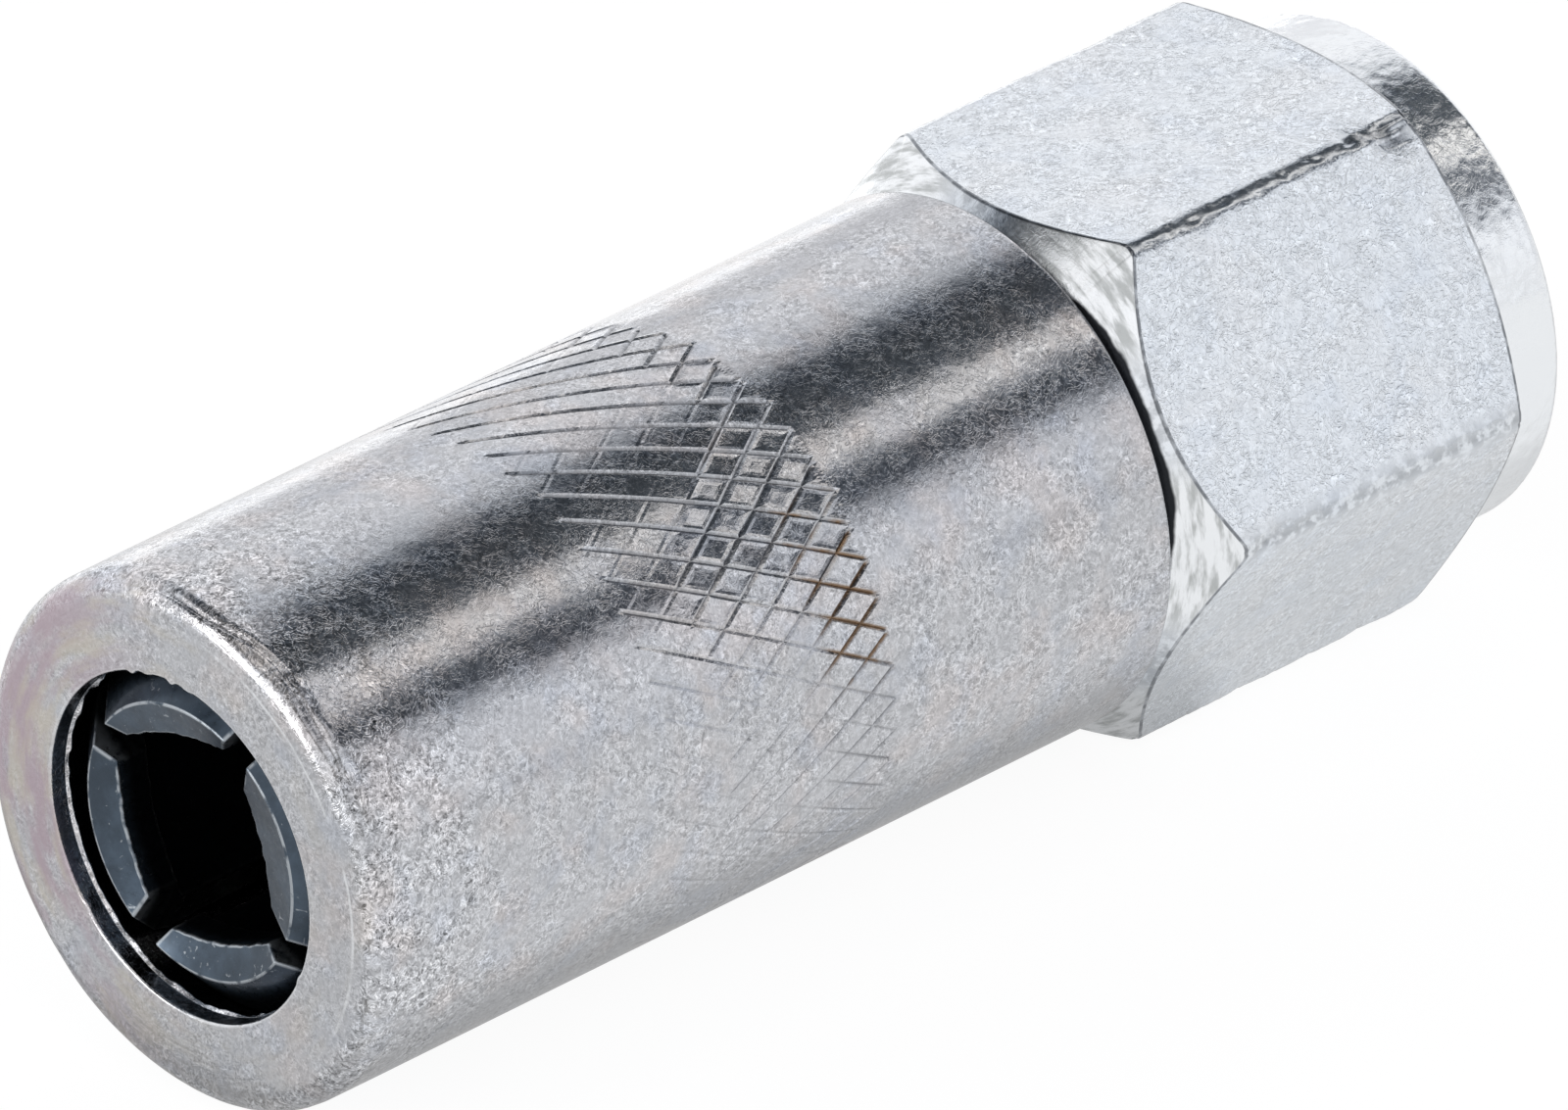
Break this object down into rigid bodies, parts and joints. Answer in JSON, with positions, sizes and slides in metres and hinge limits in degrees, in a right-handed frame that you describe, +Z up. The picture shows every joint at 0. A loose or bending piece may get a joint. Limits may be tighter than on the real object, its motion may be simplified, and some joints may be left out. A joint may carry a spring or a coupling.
{
  "type": "grease coupler",
  "caption": "Hydraulic grease coupler: knurled round sleeve with spring-loaded gripping jaws in its mouth, hexagon body with a threaded inlet and a check valve inside.",
  "frame": {"origin": "centre of the rear face, at the mouth of the threaded inlet", "axes": "+X along the axis out of the threaded inlet, so the nose points along -X; +Z up, square to a spanner flat, with the coupler lying on its side"},
  "size_m": [0.0426, 0.0172, 0.015],
  "materials": {
    "zinc_plate": "satin zinc plate, faintly yellow and pink",
    "zinc_plate_hex": "bright zinc plate, fine pitted flats",
    "machined_steel": "turned, oiled",
    "jaw_steel": "hardened, black oxide",
    "ball_steel": "polished",
    "spring_steel": "drawn wire",
    "seal_rubber": "matte black",
    "backup_plastic": "natural white"
  },
  "bodies": {
    "housing": {"sleeve": "zinc_plate", "hex_body": "zinc_plate_hex", "main_spring": "spring_steel"},
    "piston": {"piston": "machined_steel", "valve_seat": "machined_steel", "piston_o_ring": "seal_rubber", "piston_backup_ring": "backup_plastic", "thrust_washer": "machined_steel", "nipple_seal": "seal_rubber", "jaw_ring": "spring_steel", "check_spring": "spring_steel"},
    "check_ball": {"check_ball": "ball_steel"},
    "jaw_1": {"jaw_1": "jaw_steel"},
    "jaw_2": {"jaw_2": "jaw_steel"},
    "jaw_3": {"jaw_3": "jaw_steel"},
    "jaw_4": {"jaw_4": "jaw_steel"}
  },
  "joints": [
    {"name": "piston_slide", "type": "slide", "parent": "housing", "child": "piston", "axis": [1, 0, 0], "range_m": [0, 0.0025], "stiffness_N_per_m": 4000, "springref_m": -0.004, "deforming": ["main_spring"]},
    {"name": "check_ball_lift", "type": "slide", "parent": "piston", "child": "check_ball", "axis": [-1, 0, 0], "range_m": [0, 0.0008], "stiffness_N_per_m": 200, "springref_m": -0.0005, "deforming": ["check_spring"]},
    {"name": "jaw_1_tilt", "type": "hinge", "parent": "piston", "child": "jaw_1", "pos_m": [-0.03255, 0.00167, 0.00556], "axis": [0, 0.9578, -0.2874], "range_deg": [0, 3]},
    {"name": "jaw_2_tilt", "type": "hinge", "parent": "piston", "child": "jaw_2", "pos_m": [-0.03255, -0.00556, 0.00167], "axis": [0, 0.2874, 0.9578], "range_deg": [0, 3]},
    {"name": "jaw_3_tilt", "type": "hinge", "parent": "piston", "child": "jaw_3", "pos_m": [-0.03255, -0.00167, -0.00556], "axis": [0, -0.9578, 0.2874], "range_deg": [0, 3]},
    {"name": "jaw_4_tilt", "type": "hinge", "parent": "piston", "child": "jaw_4", "pos_m": [-0.03255, 0.00556, -0.00167], "axis": [0, -0.2874, -0.9578], "range_deg": [0, 3]}
  ],
  "couplings": [
    {"joint": "jaw_1_tilt", "follows": "piston_slide", "rad_per_m": 20.9},
    {"joint": "jaw_2_tilt", "follows": "piston_slide", "rad_per_m": 20.9},
    {"joint": "jaw_3_tilt", "follows": "piston_slide", "rad_per_m": 20.9},
    {"joint": "jaw_4_tilt", "follows": "piston_slide", "rad_per_m": 20.9}
  ]
}
